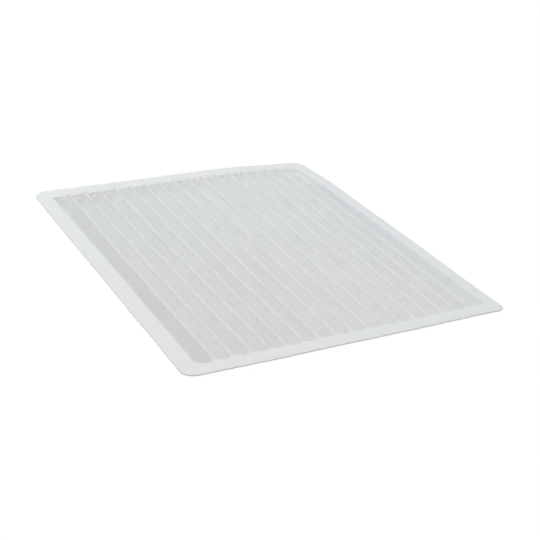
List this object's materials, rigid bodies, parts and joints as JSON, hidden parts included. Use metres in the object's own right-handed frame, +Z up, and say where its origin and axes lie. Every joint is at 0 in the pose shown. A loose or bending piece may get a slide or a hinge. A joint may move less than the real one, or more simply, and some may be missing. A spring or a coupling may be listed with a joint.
{
  "type": "pleated panel air filter",
  "caption": "Thin rectangular panel air filter: folded white nonwoven media sealed into a moulded border whose flat flange seats in a duct slot.",
  "frame": {"origin": "middle of the underside, on the plane of the skirt's foot", "axes": "+X across the pleats to the right, +Y along the pleats to the far end, +Z up through the flange"},
  "size_m": [0.195, 0.241, 0.0097],
  "materials": {
    "moulded_nonwoven": "matte felted nonwoven, heat pressed",
    "spunbond_web": "matte mottled spunbond",
    "electret_web": "matte fine melt-blown fibre",
    "backing_web": "matte open spunbond",
    "hot_melt": "waxy translucent hot melt"
  },
  "bodies": {
    "root": {"rim": "moulded_nonwoven", "upper_web": "spunbond_web", "fine_web": "electret_web", "backing_web": "backing_web", "end_seal_far": "hot_melt", "end_seal_near": "hot_melt", "side_seal_left": "hot_melt", "side_seal_right": "hot_melt"}
  },
  "joints": []
}
